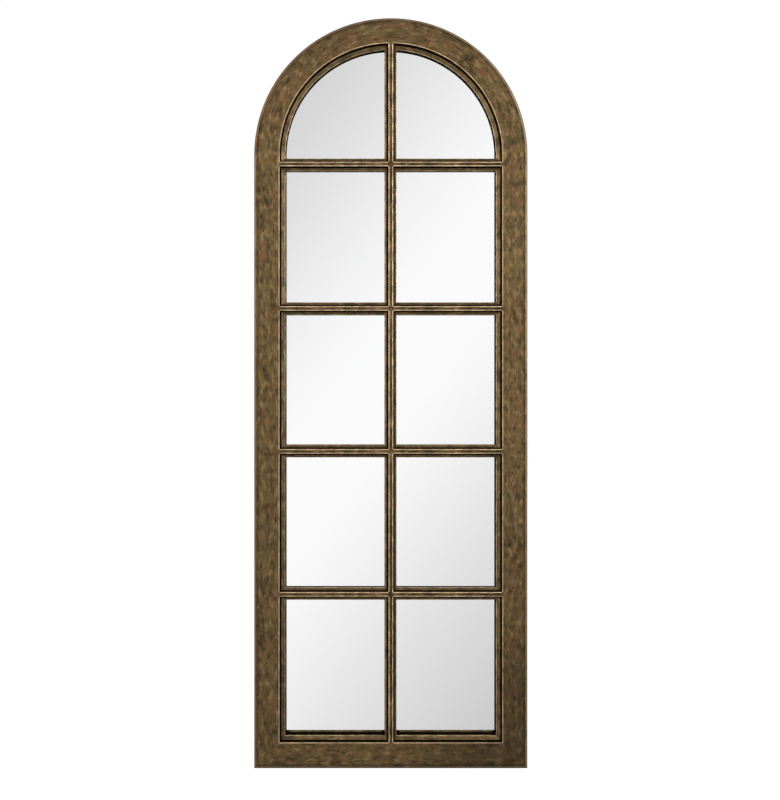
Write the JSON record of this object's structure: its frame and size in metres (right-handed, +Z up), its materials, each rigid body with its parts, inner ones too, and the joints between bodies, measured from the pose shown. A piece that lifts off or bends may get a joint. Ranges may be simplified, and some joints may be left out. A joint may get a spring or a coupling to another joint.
{
  "type": "arched window mirror",
  "caption": "Full-length wall mirror with an arched head, brass-clad frame, flush glazing bars and beaded panes, on two swinging-ring strap hangers.",
  "frame": {"origin": "middle of the underside of the frame, half way through the frame's depth", "axes": "+Z up the height, -Y out of the mirror's front, +X to the right seen from the front"},
  "size_m": [0.762, 0.0474, 2.091],
  "materials": {
    "frame_brass": "aged brass sheet, brown-olive mottled patina brushed along each member, arrises worn bright",
    "bar_brass": "aged brass bar, dark patina with bright worn arrises",
    "bead_brass": "aged brass, dark in the quirks, worn lighter on the inner edge",
    "mirror": "clear silvered glass",
    "timber": "bare sawn softwood",
    "fibreboard": "smooth brown fibreboard",
    "zinc_steel": "zinc-plated steel",
    "rubber": "black rubber"
  },
  "bodies": {
    "mirror": {"left_stile_core": "timber", "right_stile_core": "timber", "bottom_rail_core": "timber", "left_arch_core": "timber", "right_arch_core": "timber", "left_corner_dowel_1": "timber", "left_corner_dowel_2": "timber", "left_springing_dowel_1": "timber", "left_springing_dowel_2": "timber", "right_corner_dowel_1": "timber", "right_corner_dowel_2": "timber", "right_springing_dowel_1": "timber", "right_springing_dowel_2": "timber", "crown_dowel_1": "timber", "crown_dowel_2": "timber", "left_stile_casing": "frame_brass", "right_stile_casing": "frame_brass", "bottom_rail_casing": "frame_brass", "arch_casing": "frame_brass", "upright_bar": "bar_brass", "cross_bar_1": "bar_brass", "cross_bar_2": "bar_brass", "cross_bar_3": "bar_brass", "cross_bar_4": "bar_brass", "left_pane_bead_1": "bead_brass", "left_pane_bead_2": "bead_brass", "left_pane_bead_3": "bead_brass", "left_pane_bead_4": "bead_brass", "right_pane_bead_1": "bead_brass", "right_pane_bead_2": "bead_brass", "right_pane_bead_3": "bead_brass", "right_pane_bead_4": "bead_brass", "left_head_bead": "bead_brass", "right_head_bead": "bead_brass", "mirror_glass": "mirror", "backing_board": "fibreboard", "board_screw_1": "zinc_steel", "board_screw_2": "zinc_steel", "board_screw_3": "zinc_steel", "board_screw_4": "zinc_steel", "board_screw_5": "zinc_steel", "board_screw_6": "zinc_steel", "board_screw_7": "zinc_steel", "board_screw_8": "zinc_steel", "board_screw_9": "zinc_steel", "board_screw_10": "zinc_steel", "board_screw_11": "zinc_steel", "board_screw_12": "zinc_steel", "left_hanger_screw_1": "zinc_steel", "left_hanger_screw_2": "zinc_steel", "right_hanger_screw_1": "zinc_steel", "right_hanger_screw_2": "zinc_steel", "left_hanger_strap": "zinc_steel", "right_hanger_strap": "zinc_steel", "left_wall_bumper": "rubber", "right_wall_bumper": "rubber"},
    "left_ring": {"left_hanger_ring": "zinc_steel"},
    "right_ring": {"right_hanger_ring": "zinc_steel"}
  },
  "joints": [
    {"name": "left_ring_swing", "type": "hinge", "parent": "mirror", "child": "left_ring", "pos_m": [-0.35, 0.0231, 1.59], "axis": [1, 0, 0], "range_deg": [0, 180]},
    {"name": "right_ring_swing", "type": "hinge", "parent": "mirror", "child": "right_ring", "pos_m": [0.35, 0.0231, 1.59], "axis": [1, 0, 0], "range_deg": [0, 180]}
  ]
}
